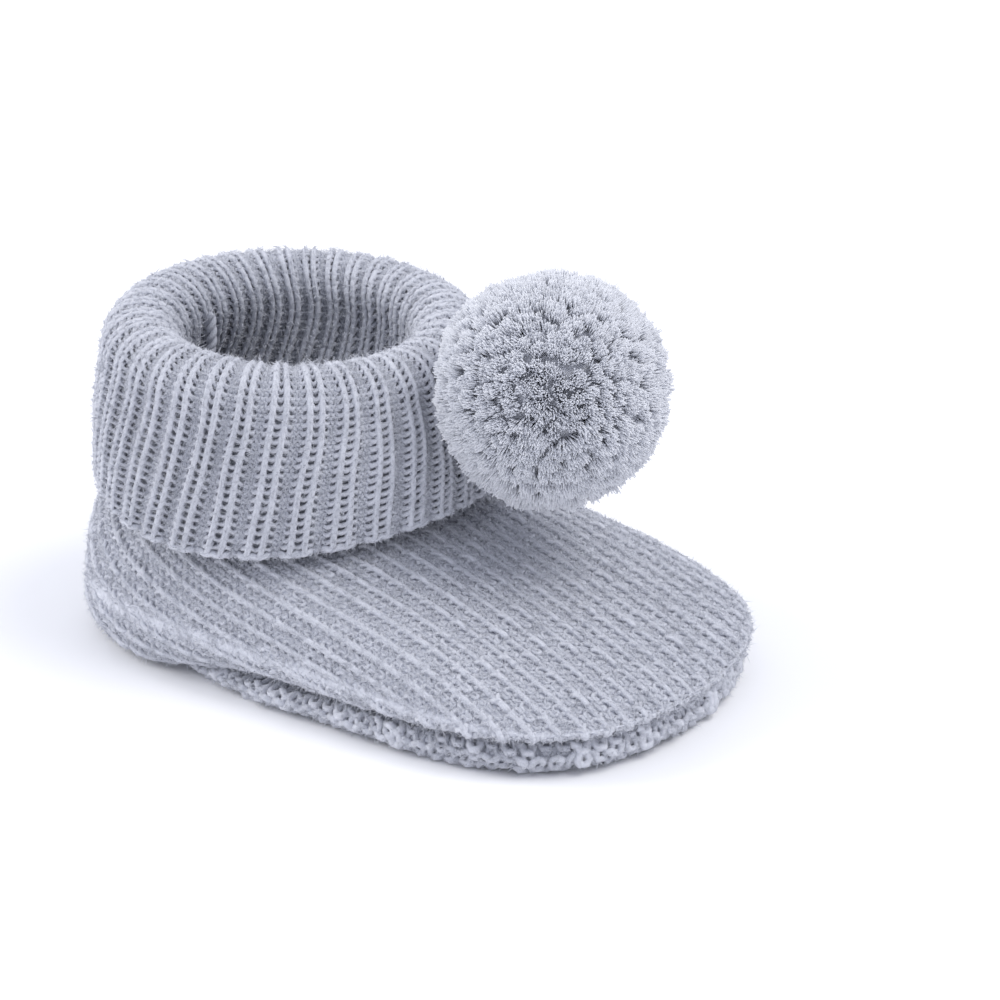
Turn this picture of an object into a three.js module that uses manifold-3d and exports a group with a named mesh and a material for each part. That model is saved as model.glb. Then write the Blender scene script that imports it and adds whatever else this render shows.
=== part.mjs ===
import * as THREE from 'three';
import { mergeVertices } from 'three/addons/utils/BufferGeometryUtils.js';
import Module from 'manifold-3d';

// Knitted baby bootie: garter-stitch sole, knitted upper, turned-down rib cuff and a pompom.
// Millimetres, +Z up, +X towards the toe, origin on the floor under the middle of the whole.

const wasm = await Module();
wasm.setup();

// Overall sizes
const footLength = 99;          // sole, heel to toe
const soleMidHalf = 28;         // half width of the sole at mid length
const soleBallGain = 3;         // extra half width towards the toe
const soleEndFill = 17;         // how square the two ends of the sole are
const fabric = 2.6;             // thickness of the knitted fabric
const clearance = 0.3;          // gap between pieces that touch
const forwardShift = -0.9;      // centres the whole over the origin

// Sole
const soleToeThickness = 3.7;
const soleHeelThickness = 2;
const soleHeelInset = 1.4;      // the sole stops short under the heel
const soleEdgeRound = 1.6;

// Upper
const toeOverhang = 4.2;        // how far the upper bulges past the sole
const heelOverhang = 2.2;
const toeWidestZ = 7;           // height of the widest line of the upper
const heelWidestZ = 8.6;
const vampStraightness = 0.8;   // 0 is a quarter ellipse, 1 a straight instep
const heelFullness = 0.8;       // below 1 the heel stands more upright
const edgeCover = 0.5;          // how far the lower edge laps over the seam yarn
const ankleFromHeel = 29;       // middle of the opening, from the heel end of the sole
const ankleHalfLength = 25.5;
const ankleHalfWidth = 18.5;
const ankleZ = 25.2;
const ankleFillet = 3;

// Rib cuff
const rimFromHeel = 31;
const rimHalfLength = 22;       // to the middle of the roll
const rimHalfWidth = 25;
const rimTopZ = 52;
const rollRadius = 6.3;         // outer radius of the turned-over edge
const rimSlope = 0.09;          // the rim is higher at the back
const hemFromHeel = 31;
const hemHalfLength = 32;
const hemHalfWidth = 30.4;
const hemSideZ = 22.2;          // lowest part of the flap, at the sides
const hemEndRise = 4.3;         // it is higher at heel and instep
const flapBulge = 0.6;

// Seam yarns
const seamYarnRadius = 0.5;
const ridgeRadius = 0.8;

// Pompom
const pileRadius = 15.2;
const pompomLift = 8;           // degrees, the ball sits slightly above its stitch
const anchorDrop = 8;           // the stitch, below the top of the rim
const pileStandOff = 2.2;       // from the stitch to the ball
const flapHoleRadius = 1.9;
const loopRadius = 0.85;
const loopYarnRadius = 0.45;
const knotRadius = 1.5;
const knotHalfThickness = 0.9;
const neckRadius = 0.9;
const neckStart = 1.9;          // from the stitch to the end of the tie's neck
const windRadius = 3;
const windHalfLength = 1.4;

const roundSteps = 48;

const ankleCentreX = ankleFromHeel - footLength / 2;
const rimCentreX = rimFromHeel - footLength / 2;
const hemCentreX = hemFromHeel - footLength / 2;
const anchorZ = rimTopZ - anchorDrop;
const anchorReach = pileRadius + pileStandOff;
const rad = Math.PI / 180;
const mix = (a, b, k) => a + (b - a) * k;

const knit = { color: 0xb4b7c1, roughness: 0.95, metalness: 0 };
const garter = { color: 0xabaeb9, roughness: 0.95, metalness: 0 };
const seamYarn = { color: 0x9a9daa, roughness: 0.95, metalness: 0 };
const pile = { color: 0xbfc2cb, roughness: 1, metalness: 0 };

const bootie = new THREE.Group();
bootie.name = 'baby_bootie';

function addPiece(name, geometry, look) {
  const mesh = new THREE.Mesh(geometry, new THREE.MeshStandardMaterial(look));
  mesh.name = name;
  mesh.position.x = forwardShift;
  bootie.add(mesh);
  return mesh;
}

// Signed volume by the divergence sum; a negative one means the faces look inward.
function signedVolume(geometry) {
  const position = geometry.attributes.position;
  const index = geometry.index;
  const corner = [new THREE.Vector3(), new THREE.Vector3(), new THREE.Vector3()];
  let sum = 0;
  for (let i = 0; i < index.count; i += 3) {
    corner.forEach((point, k) => point.fromBufferAttribute(position, index.getX(i + k)));
    sum += corner[0].dot(corner[1].cross(corner[2])) / 6;
  }
  return sum;
}

function outward(geometry) {
  if (signedVolume(geometry) < 0) {
    const index = geometry.index;
    for (let i = 0; i < index.count; i += 3) {
      const first = index.getX(i);
      index.setX(i, index.getX(i + 1));
      index.setX(i + 1, first);
    }
  }
  geometry.computeVertexNormals();
  return geometry;
}

function welded(geometry) {
  geometry.deleteAttribute('normal');
  geometry.deleteAttribute('uv');
  return outward(mergeVertices(geometry, 1e-4));
}

function middle(row) {
  const centre = new THREE.Vector3();
  row.forEach((point) => centre.add(point));
  return centre.divideScalar(row.length);
}

// Closed mesh over a grid of points. Every row closes on itself; the rows either close
// too, which makes a ring, or end in a point at each end.
function gridMesh(rows, hasPoles) {
  const columns = rows[0].length;
  const points = rows.flat();
  const indices = [];
  const spans = hasPoles ? rows.length - 1 : rows.length;
  for (let r = 0; r < spans; r += 1) {
    const here = r * columns;
    const next = ((r + 1) % rows.length) * columns;
    for (let c = 0; c < columns; c += 1) {
      const side = (c + 1) % columns;
      indices.push(here + c, here + side, next + side);
      indices.push(here + c, next + side, next + c);
    }
  }
  if (hasPoles) {
    const last = (rows.length - 1) * columns;
    const low = points.length;
    points.push(middle(rows[0]), middle(rows[rows.length - 1]));
    for (let c = 0; c < columns; c += 1) {
      const side = (c + 1) % columns;
      indices.push(low, side, c);
      indices.push(low + 1, last + c, last + side);
    }
  }
  const geometry = new THREE.BufferGeometry();
  geometry.setFromPoints(points);
  geometry.setIndex(indices);
  return outward(geometry);
}

function toManifold(geometry) {
  const plain = mergeVertices(geometry, 1e-4);
  plain.deleteAttribute('normal');
  const vertProperties = new Float32Array(plain.attributes.position.array);
  const triVerts = new Uint32Array(plain.index.array);
  return new wasm.Manifold(new wasm.Mesh({ numProp: 3, vertProperties, triVerts }));
}

function fromManifold(solid) {
  const mesh = solid.getMesh();
  const geometry = new THREE.BufferGeometry();
  geometry.setAttribute('position', new THREE.BufferAttribute(mesh.vertProperties, 3));
  geometry.setIndex(new THREE.BufferAttribute(mesh.triVerts, 1));
  geometry.computeVertexNormals();
  return geometry;
}

// Angle t runs round the foot: 0 at the toe, pi at the heel.
const angles = Array.from({ length: roundSteps }, (_, i) => (i * 2 * Math.PI) / roundSteps);
const toeward = (t) => (1 + Math.cos(t)) / 2;

// Egg-shaped outline of the foot at height z, grown outward by grow.
function outline(t, grow, z) {
  const c = Math.cos(t);
  const half = soleMidHalf + soleBallGain * c + soleEndFill * c * c;
  const x = (footLength / 2 + grow) * c;
  const y = Math.sin(t) * half * (1 + grow / soleMidHalf);
  return new THREE.Vector3(x, y, z);
}

function ellipse(t, centreX, halfLength, halfWidth, z) {
  return new THREE.Vector3(centreX + halfLength * Math.cos(t), halfWidth * Math.sin(t), z);
}

// Sole: flat below, thicker towards the toe, with a rounded edge.
const soleTopZ = (t) => mix(soleHeelThickness, soleToeThickness, toeward(t));
const soleInset = (t) => soleHeelInset * (1 - toeward(t));
const soleMiddleZ = mix(soleHeelThickness, soleToeThickness, 0.5);

function soleFace(share, isTop) {
  return angles.map((t) => {
    const point = outline(t, -soleInset(t) - soleEdgeRound, 0);
    point.multiplyScalar(1 - share);
    point.z = isTop ? mix(soleTopZ(t), soleMiddleZ, share) : 0;
    return point;
  });
}

function buildSole() {
  const edgeSteps = 6;
  const rows = [soleFace(0.6, false)];
  for (let i = 0; i <= edgeSteps; i += 1) {
    const a = (i / edgeSteps) * Math.PI;
    const inset = soleEdgeRound * (1 - Math.sin(a));
    const rise = (1 - Math.cos(a)) / 2;
    rows.push(angles.map((t) => outline(t, -soleInset(t) - inset, soleTopZ(t) * rise)));
  }
  rows.push(soleFace(0.6, true));
  return gridMesh(rows, true);
}

// The seam yarn lies on the sole's edge and the upper's lower edge lies on the yarn.
const seamInset = (t) => soleInset(t) + soleEdgeRound + 0.2;
const seamZ = (t) => soleTopZ(t) + clearance + seamYarnRadius;
const upperEdgeZ = (t) => seamZ(t) + seamYarnRadius + clearance;
const upperEdgeInset = (t) => seamInset(t) + seamYarnRadius + edgeCover;

// Round yarn along the closed line centreLine(t).
function yarnRing(centreLine, radius) {
  const sides = 6;
  const step = 0.02;
  const up = new THREE.Vector3(0, 0, 1);
  const rows = angles.map((t) => {
    const centre = centreLine(t);
    const along = centreLine(t + step).sub(centreLine(t - step)).normalize();
    const across = new THREE.Vector3().crossVectors(along, up).normalize();
    const rise = new THREE.Vector3().crossVectors(across, along);
    return Array.from({ length: sides }, (_, s) => {
      const a = (s * 2 * Math.PI) / sides;
      const point = centre.clone().addScaledVector(across, radius * Math.cos(a));
      return point.addScaledVector(rise, radius * Math.sin(a));
    });
  });
  return gridMesh(rows, false);
}

// Round yarn along an open line of points.
function yarnLine(points, radius) {
  const shape = new THREE.Shape();
  const sides = 6;
  for (let s = 0; s < sides; s += 1) {
    const a = (s * 2 * Math.PI) / sides;
    const place = s === 0 ? 'moveTo' : 'lineTo';
    shape[place](radius * Math.cos(a), radius * Math.sin(a));
  }
  shape.closePath();
  const extrudePath = new THREE.CatmullRomCurve3(points);
  const steps = points.length + 2;
  return welded(new THREE.ExtrudeGeometry(shape, { steps, bevelEnabled: false, extrudePath }));
}

// Outer face of the upper, u from 0 at the ankle's top edge to 1 at the lower edge:
// a fillet down to the ledge round the ankle, a quarter ellipse out to the widest line
// that mixes with a straight slope over the instep, and a quarter ellipse tucked under.
const filletEnd = 0.15;
const faceEnd = 0.8;

function upperPoint(t, u) {
  const quarter = Math.PI / 2;
  if (u < filletEnd) {
    const a = (u / filletEnd) * quarter;
    const back = ankleFillet * Math.cos(a);
    const z = ankleZ + ankleFillet * (1 - Math.sin(a));
    return ellipse(t, ankleCentreX, ankleHalfLength - back, ankleHalfWidth - back, z);
  }
  const f = toeward(t);
  const bulge = mix(heelOverhang, toeOverhang, f);
  const widestZ = mix(heelWidestZ, toeWidestZ, f);
  if (u < faceEnd) {
    const a = ((u - filletEnd) / (faceEnd - filletEnd)) * quarter;
    const straight = vampStraightness * f ** 1.3;
    const drop = (1 - straight) * Math.cos(a) + straight * (1 - Math.sin(a));
    const inner = ellipse(t, ankleCentreX, ankleHalfLength, ankleHalfWidth, 0);
    const reach = Math.sin(a) ** mix(heelFullness, 1, f);
    const point = inner.lerp(outline(t, bulge, 0), reach);
    point.z = mix(widestZ, ankleZ, drop);
    return point;
  }
  const a = Math.min((u - faceEnd) / (1 - faceEnd), 1) * quarter;
  const grow = mix(bulge, -upperEdgeInset(t), 1 - Math.cos(a));
  return outline(t, grow, mix(widestZ, upperEdgeZ(t), Math.sin(a)));
}

// A point under the upper's face, measured along the face's inward normal.
function upperInside(t, u, depth) {
  const step = 1e-3;
  const u0 = Math.max(u - step, 0);
  const u1 = Math.min(u + step, 1);
  const round = upperPoint(t + step, u).sub(upperPoint(t - step, u));
  const down = upperPoint(t, u1).sub(upperPoint(t, u0));
  const normal = round.cross(down).normalize();
  return upperPoint(t, u).addScaledVector(normal, depth);
}

const upperSteps = [0, 0.07, 0.15, 0.24, 0.33, 0.42, 0.52, 0.62, 0.72, 0.8, 0.88, 0.94, 1];

function buildUpper() {
  const rows = angles.map((t) => {
    const outer = upperSteps.map((u) => upperPoint(t, u));
    const inner = upperSteps.map((u) => upperInside(t, u, fabric));
    return outer.concat(inner.reverse());
  });
  return gridMesh(rows, false);
}

// Rib cuff: leg tube, roll and turned-down flap, one fabric seen in section at angle t.
const rollZ = (t) => rimTopZ - rollRadius - rimSlope * rimHalfLength * Math.cos(t);
const innerRoll = rollRadius - fabric;
const legBottomZ = ankleZ + ankleFillet + 2 * (clearance + seamYarnRadius);
const hemZ = (t) => hemSideZ + hemEndRise * Math.cos(t) ** 2;

function rollPoint(t, radius, a) {
  const out = -radius * Math.cos(a);
  const z = rollZ(t) + radius * Math.sin(a);
  return ellipse(t, rimCentreX, rimHalfLength + out, rimHalfWidth + out, z);
}

// Leg tube, depth inward from its outer face, h from 0 at the bottom to 1 at the roll.
function legPoint(t, depth, h) {
  const back = ankleFillet + depth;
  const low = ellipse(t, ankleCentreX, ankleHalfLength - back, ankleHalfWidth - back, legBottomZ);
  const high = rollPoint(t, innerRoll + depth, 0);
  const eased = h * h * (3 - 2 * h);
  const point = low.clone().lerp(high, eased);
  point.z = mix(low.z, high.z, h);
  return point;
}

// Flap, depth inward from its outer face, h from 0 at the roll to 1 at the hem.
function flapPoint(t, depth, h) {
  const high = rollPoint(t, rollRadius - depth, Math.PI);
  const low = ellipse(t, hemCentreX, hemHalfLength - depth, hemHalfWidth - depth, hemZ(t));
  const point = high.lerp(low, h);
  const swell = flapBulge * Math.sin(Math.PI * h);
  return point.add(ellipse(t, 0, swell, swell, 0));
}

function buildCuff() {
  const legShares = [0, 0.33, 0.67];
  const flapShares = [0, 0.25, 0.5, 0.75, 1];
  const outerArc = Array.from({ length: 7 }, (_, i) => (i * Math.PI) / 7);
  const innerArc = Array.from({ length: 5 }, (_, i) => (i * Math.PI) / 5);
  const rows = angles.map((t) => [
    ...legShares.map((h) => legPoint(t, fabric, h)),
    ...outerArc.map((a) => rollPoint(t, rollRadius, a)),
    ...flapShares.map((h) => flapPoint(t, 0, h)),
    ...flapShares.slice().reverse().map((h) => flapPoint(t, fabric, h)),
    ...innerArc.slice(1).reverse().map((a) => rollPoint(t, innerRoll, a)),
    ...legShares.concat(1).reverse().map((h) => legPoint(t, 0, h)),
  ]);
  return gridMesh(rows, false);
}

// The pompom hangs on a stitch in the middle of the flap's fabric, at the instep. Its parts
// are turned about one axis that leaves the stitch at the lift angle.
const anchorSide = rollZ(0) - anchorZ;
const fabricMiddle = rollRadius - fabric / 2;
const anchorX = rimCentreX + rimHalfLength + Math.sqrt(fabricMiddle ** 2 - anchorSide ** 2);
const anchor = new THREE.Vector3(anchorX, 0, anchorZ);

// Turned solid about the pompom's axis; profile points are [radius, distance from the stitch].
function turned(profile, segments) {
  const points = profile.map(([radius, along]) => new THREE.Vector2(radius, along));
  const geometry = new THREE.LatheGeometry(points, segments);
  geometry.rotateZ(-90 * rad);
  geometry.rotateY(-pompomLift * rad);
  geometry.translate(anchor.x, anchor.y, anchor.z);
  return welded(geometry);
}

function withFlapHole(cuff) {
  const reach = fabric + 1;
  const profile = [[0, -reach], [flapHoleRadius, -reach], [flapHoleRadius, reach], [0, reach]];
  return fromManifold(toManifold(cuff).subtract(toManifold(turned(profile, 12))));
}

function buildPile() {
  const channel = neckRadius + clearance;
  const room = windRadius + clearance;
  const roomHalf = windHalfLength + clearance;
  const mouth = Math.PI - Math.asin(channel / pileRadius);
  const steps = 16;
  const profile = [];
  for (let i = 0; i <= steps; i += 1) {
    const a = (i / steps) * mouth;
    const radius = i === 0 ? 0 : pileRadius * Math.sin(a);
    profile.push([radius, anchorReach + pileRadius * Math.cos(a)]);
  }
  profile.push([channel, anchorReach - roomHalf], [room, anchorReach - roomHalf]);
  profile.push([room, anchorReach + roomHalf], [0, anchorReach + roomHalf]);
  return turned(profile, 32);
}

function buildTie() {
  const waist = windRadius - 0.7;
  return turned([
    [0, neckStart],
    [neckRadius, neckStart],
    [neckRadius, anchorReach - windHalfLength],
    [waist, anchorReach - windHalfLength],
    [windRadius, anchorReach],
    [waist, anchorReach + windHalfLength],
    [0, anchorReach + windHalfLength],
  ], 12);
}

function buildKnot() {
  const hole = fabric / 2 + clearance + knotHalfThickness;
  const profile = [];
  const steps = 8;
  for (let i = 0; i <= steps; i += 1) {
    const a = (i / steps) * Math.PI;
    const radius = i === 0 || i === steps ? 0 : knotRadius * Math.sin(a);
    profile.push([radius, -hole - knotHalfThickness * Math.cos(a)]);
  }
  return turned(profile, 12);
}

function buildLoop() {
  const geometry = new THREE.TorusGeometry(loopRadius, loopYarnRadius, 8, 16);
  geometry.rotateX(90 * rad);
  geometry.translate(anchor.x, anchor.y, anchor.z);
  return welded(geometry);
}

const ridgeDepth = fabric + clearance + 1.15 * ridgeRadius;
const heelSteps = [0.02, 0.1, 0.18, 0.27, 0.36, 0.48, 0.6, 0.7];
const heelLine = heelSteps.map((u) => upperInside(Math.PI, u, ridgeDepth));
const legSteps = [0.05, 0.28, 0.52, 0.76, 1];
const legLine = legSteps.map((h) => legPoint(Math.PI, ridgeDepth, h));
const ankleYarnBack = ankleFillet + fabric / 2;
const ankleYarnZ = ankleZ + ankleFillet + clearance + seamYarnRadius;

addPiece('sole', buildSole(), garter);
addPiece('foot_upper', buildUpper(), knit);
addPiece('rib_cuff', withFlapHole(buildCuff()), knit);
addPiece('sole_seam', yarnRing((t) => outline(t, -seamInset(t), seamZ(t)), seamYarnRadius), seamYarn);
addPiece('ankle_seam', yarnRing((t) => ellipse(
  t,
  ankleCentreX,
  ankleHalfLength - ankleYarnBack,
  ankleHalfWidth - ankleYarnBack,
  ankleYarnZ,
), seamYarnRadius), seamYarn);
addPiece('heel_seam', yarnLine(heelLine, ridgeRadius), seamYarn);
addPiece('cuff_seam', yarnLine(legLine, ridgeRadius), seamYarn);
addPiece('anchor_knot', buildKnot(), seamYarn);
addPiece('anchor_loop', buildLoop(), seamYarn);
addPiece('pompom_tie', buildTie(), seamYarn);
addPiece('pompom_pile', buildPile(), pile);

export default bootie;
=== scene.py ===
import math
import bpy
import numpy as np
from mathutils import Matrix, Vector


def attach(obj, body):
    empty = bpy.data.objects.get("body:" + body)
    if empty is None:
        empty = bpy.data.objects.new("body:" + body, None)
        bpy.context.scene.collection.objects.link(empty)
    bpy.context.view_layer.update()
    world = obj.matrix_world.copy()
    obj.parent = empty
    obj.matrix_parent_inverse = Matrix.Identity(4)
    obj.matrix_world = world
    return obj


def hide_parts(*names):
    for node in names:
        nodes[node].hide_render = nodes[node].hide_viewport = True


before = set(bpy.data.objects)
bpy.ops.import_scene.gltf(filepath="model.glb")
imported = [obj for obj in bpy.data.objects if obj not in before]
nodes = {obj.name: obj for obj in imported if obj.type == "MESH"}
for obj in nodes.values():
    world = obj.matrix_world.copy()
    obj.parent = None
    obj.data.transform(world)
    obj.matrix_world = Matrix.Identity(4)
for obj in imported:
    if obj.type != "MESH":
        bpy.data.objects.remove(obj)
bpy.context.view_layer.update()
mm = 0.001

# Camera

cameraLook = dict(azimuth=33.0, elevation=22.0, distance=450.0, targetZ=25.0, lens=108.0,
                  aimRight=13.95, aimUp=-1.05, sensor=36, near=0.02, far=20)


def makeCamera(look):
    a, e = math.radians(look["azimuth"]), math.radians(look["elevation"])
    back = Vector((math.sin(a) * math.cos(e), -math.cos(a) * math.cos(e), math.sin(e)))
    right = Vector((math.cos(a), math.sin(a), 0))
    up = back.cross(right)
    target = Vector((0, 0, look["targetZ"]))
    place = target + back * look["distance"]
    aim = target + right * look["aimRight"] + up * look["aimUp"]
    data = bpy.data.cameras.new("camera")
    data.lens = look["lens"]
    data.sensor_width = look["sensor"]
    data.clip_start, data.clip_end = look["near"], look["far"]
    camera = bpy.data.objects.new("camera", data)
    bpy.context.scene.collection.objects.link(camera)
    camera.location = place * mm
    camera.rotation_mode = "QUATERNION"
    camera.rotation_quaternion = (aim - place).to_track_quat("-Z", "Y")
    bpy.context.scene.camera = camera


makeCamera(cameraLook)
print("camera done")

# Sizes, mm

foot = dict(length=99, midHalf=28, ballGain=3, endFill=17, fabric=2.6, clearance=0.3,
            shift=-0.9, soleToe=3.7, soleHeel=2, soleHeelInset=1.4, soleEdge=1.6,
            toeOver=4.2, heelOver=2.2, toeWidestZ=7, heelWidestZ=8.6, straight=0.8,
            heelFull=0.8, edgeCover=0.5, edgeGap=0.2, wrapFrom=0.46, wrapOver=0.3, wrapZ=0.55,
            wrapIn=1.3, wrapSoleIn=3.4, ankleX=-20.5, ankleLong=25.5, ankleWide=18.5,
            ankleZ=25.2, fillet=3, seamYarn=0.5, ledgeU=0.15, widestU=0.8, faceU=0.65, tuckU=0.2,
            normalU=0.16)
cuff = dict(rimX=-18.5, rimLong=22, rimWide=25, rimTopZ=52, roll=6.3, slope=0.09,
            hemX=-18.5, hemLong=32, hemWide=30.4, hemSideZ=22.2, hemEndRise=4.3, bulge=0.6)
pompomBall = dict(centre=(24.82, 0, 46.42), stitch=(7.59, 0, 44.0), clear=20.2)


def mix(a, b, k):
    return a + (b - a) * k


def smoothStep(k):
    k = np.clip(k, 0, 1)
    return k * k * (3 - 2 * k)


def stack(x, y, z):
    return np.stack(np.broadcast_arrays(x, y, z), -1)


# Surfaces, mm
# Angle t runs round the foot: 0 at the toe, pi at the heel.


def toeward(t):
    return (1 + np.cos(t)) / 2


def outline(t, grow, z):
    c = np.cos(t)
    half = foot["midHalf"] + foot["ballGain"] * c + foot["endFill"] * c * c
    x = (foot["length"] / 2 + grow) * c
    y = np.sin(t) * half * (1 + grow / foot["midHalf"])
    return stack(x + foot["shift"], y, z)


def ellipse(t, centreX, halfLong, halfWide, z):
    return stack(centreX + halfLong * np.cos(t) + foot["shift"], halfWide * np.sin(t), z)


def soleTopZ(t):
    return mix(foot["soleHeel"], foot["soleToe"], toeward(t))


# 1 where the foot's fabric wraps down to the floor, at the heel, 0 where the sole shows.
def heelWrap(t):
    return smoothStep((foot["wrapFrom"] - toeward(t)) / foot["wrapOver"])


def soleInset(t):
    return foot["soleHeelInset"] * (1 - toeward(t))


# Outer face of the foot, u from 0 at the ankle's edge to 1 at the lower edge: a quarter
# ellipse out to the widest line, mixed with a straight instep, then one tucked under.
def upperPoint(t, u):
    t, u = np.broadcast_arrays(t, u)
    f = toeward(t)
    over = mix(foot["heelOver"], foot["toeOver"], f)
    widestZ = mix(foot["heelWidestZ"], foot["toeWidestZ"], f)
    ledgeU, widestU = foot["ledgeU"], foot["widestU"]
    a = np.clip((u - ledgeU) / foot["faceU"], 0, 1) * np.pi / 2
    straight = foot["straight"] * f ** 1.3
    drop = (1 - straight) * np.cos(a) + straight * (1 - np.sin(a))
    inner = ellipse(t, foot["ankleX"], foot["ankleLong"], foot["ankleWide"], 0.0)
    reach = np.sin(a) ** mix(foot["heelFull"], 1, f)
    face = inner + (outline(t, over, 0.0) - inner) * reach[..., None]
    face[..., 2] = mix(widestZ, foot["ankleZ"], drop)
    b = np.clip((u - widestU) / foot["tuckU"], 0, 1) * np.pi / 2
    wrap = heelWrap(t)
    edgeZ = mix(soleTopZ(t) + 2 * foot["clearance"] + 2 * foot["seamYarn"], foot["wrapZ"], wrap)
    edgeIn = soleInset(t) + foot["soleEdge"] + foot["edgeGap"] + foot["seamYarn"]
    edgeIn = edgeIn + foot["edgeCover"]
    edgeIn = mix(edgeIn, foot["wrapIn"], wrap)
    tuck = outline(t, mix(over, -edgeIn, 1 - np.cos(b)), mix(widestZ, edgeZ, np.sin(b)))
    c = np.clip(u / ledgeU, 0, 1) * np.pi / 2
    back = foot["fillet"] * np.cos(c)
    ledge = ellipse(t, foot["ankleX"], foot["ankleLong"] - back, foot["ankleWide"] - back,
                    foot["ankleZ"] + foot["fillet"] * (1 - np.sin(c)))
    low = (u > widestU)[..., None]
    high = (u < ledgeU)[..., None]
    return np.where(low, tuck, np.where(high, ledge, face))


def rollZ(t):
    return cuff["rimTopZ"] - cuff["roll"] - cuff["slope"] * cuff["rimLong"] * np.cos(t)


def rollPoint(t, radius, a):
    out = -radius * np.cos(a)
    z = rollZ(t) + radius * np.sin(a)
    return ellipse(t, cuff["rimX"], cuff["rimLong"] + out, cuff["rimWide"] + out, z)


def hemZ(t):
    return cuff["hemSideZ"] + cuff["hemEndRise"] * np.cos(t) ** 2


def flapPoint(t, depth, h):
    high = rollPoint(t, cuff["roll"] - depth, np.pi)
    low = ellipse(t, cuff["hemX"], cuff["hemLong"] - depth, cuff["hemWide"] - depth, hemZ(t))
    swell = cuff["bulge"] * np.sin(np.pi * h)
    push = stack(swell * np.cos(t), swell * np.sin(t), 0.0)
    return high + (low - high) * np.asarray(h)[..., None] + push


def legPoint(t, depth, h):
    legLowZ = foot["ankleZ"] + foot["fillet"] + 2 * (foot["clearance"] + foot["seamYarn"])
    back = foot["fillet"] + depth
    low = ellipse(t, foot["ankleX"], foot["ankleLong"] - back, foot["ankleWide"] - back, legLowZ)
    high = rollPoint(t, cuff["roll"] - foot["fabric"] + depth, 0.0)
    point = low + (high - low) * smoothStep(h)[..., None]
    point[..., 2] = mix(low[..., 2], high[..., 2], h)
    return point


# Visible skin of the rib, v in mm from the hem up the flap, over the roll and down the
# leg; depth is below that skin.
skin = dict(flap=23.2, roll=17.3, leg=16.4)


def cuffPoint(t, v, depth):
    t, v, depth = np.broadcast_arrays(t, v, depth)
    t, v, depth = t.astype(float), v.astype(float), depth.astype(float)
    onFlap = flapPoint(t, depth, 1 - v / skin["flap"])
    a = np.pi * (1 - (v - skin["flap"]) / skin["roll"])
    onRoll = rollPoint(t, cuff["roll"] - depth, np.clip(a, 0, np.pi))
    h = 1 - (v - skin["flap"] - skin["roll"]) / skin["leg"]
    onLeg = legPoint(t, foot["fabric"] - depth, np.clip(h, 0, 1))
    isFlap = (v < skin["flap"])[..., None]
    isRoll = (v < skin["flap"] + skin["roll"])[..., None]
    return np.where(isFlap, onFlap, np.where(isRoll, onRoll, onLeg))


def unit(vectors):
    return vectors / np.maximum(np.linalg.norm(vectors, axis=-1, keepdims=True), 1e-9)


def cuffNormal(t, v, depth):
    step = 0.02
    round_ = cuffPoint(t + step, v, depth) - cuffPoint(t - step, v, depth)
    up = cuffPoint(t, v + 0.4, depth) - cuffPoint(t, v - 0.4, depth)
    return unit(np.cross(round_, up))


def upperNormal(t, u):
    round_ = upperPoint(t + 0.01, u) - upperPoint(t - 0.01, u)
    down = upperPoint(t, np.minimum(u + 0.006, 1)) - upperPoint(t, np.maximum(u - 0.006, 0.15))
    return unit(np.cross(down, round_))


# Meshes


def makePiece(name, points, faceGroups, material, shade=None):
    mesh = bpy.data.meshes.new(name)
    mesh.vertices.add(len(points))
    mesh.vertices.foreach_set("co", (points * mm).astype(np.float32).ravel())
    corners = np.concatenate([f.ravel() for f in faceGroups]).astype(np.int32)
    counts = np.concatenate([np.full(len(f), f.shape[1]) for f in faceGroups])
    starts = np.concatenate([[0], np.cumsum(counts)[:-1]]).astype(np.int32)
    mesh.loops.add(len(corners))
    mesh.loops.foreach_set("vertex_index", corners)
    mesh.polygons.add(len(counts))
    mesh.polygons.foreach_set("loop_start", starts)
    mesh.polygons.foreach_set("use_smooth", np.full(len(counts), True))
    mesh.update(calc_edges=True)
    if shade is not None:
        layer = mesh.attributes.new("shade", "FLOAT", "POINT")
        layer.data.foreach_set("value", shade.astype(np.float32).ravel())
    piece = bpy.data.objects.new(name, mesh)
    bpy.context.scene.collection.objects.link(piece)
    mesh.materials.append(material)
    print(name, sum(len(f) * (f.shape[1] - 2) for f in faceGroups), "triangles")
    return piece


# Unit circles of points round a line, one for each pair of side vectors.
def ringOf(sideA, sideB, sides):
    angle = np.arange(sides) * 2 * np.pi / sides
    return (sideA[..., None, :] * np.cos(angle)[:, None]
            + sideB[..., None, :] * np.sin(angle)[:, None])


# Two directions square to each of the given ones.
def sidesOf(along):
    helper = np.where(np.abs(along[..., 2:]) < 0.8, [0, 0, 1.0], [1.0, 0, 0])
    sideA = unit(np.cross(along, helper))
    return sideA, np.cross(along, sideA)


tubeSides = 4


# Round tubes along rows of centres (rows, samples, 3); normals set how the rings turn.
def tubes(centres, normals, radius, sides=tubeSides, isRing=False):
    rows, samples = centres.shape[:2]
    if isRing:
        tangent = np.roll(centres, -1, 1) - np.roll(centres, 1, 1)
    else:
        tangent = np.gradient(centres, axis=1)
    across = unit(np.cross(unit(tangent), normals))
    rise = np.cross(across, unit(tangent))
    radius = np.broadcast_to(radius, (rows, samples))[..., None, None]
    points = (centres[:, :, None] + ringOf(across, rise, sides) * radius).reshape(-1, 3)
    index = np.arange(rows * samples * sides).reshape(rows, samples, sides)
    here = index if isRing else index[:, :-1]
    after = np.roll(index, -1, 1) if isRing else index[:, 1:]
    quads = np.stack([here, after, np.roll(after, -1, 2), np.roll(here, -1, 2)], -1)
    groups = [quads.reshape(-1, 4)]
    if not isRing:
        groups.append(index[:, 0])
        groups.append(index[:, -1, ::-1])
    return points, groups


# Materials


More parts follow.
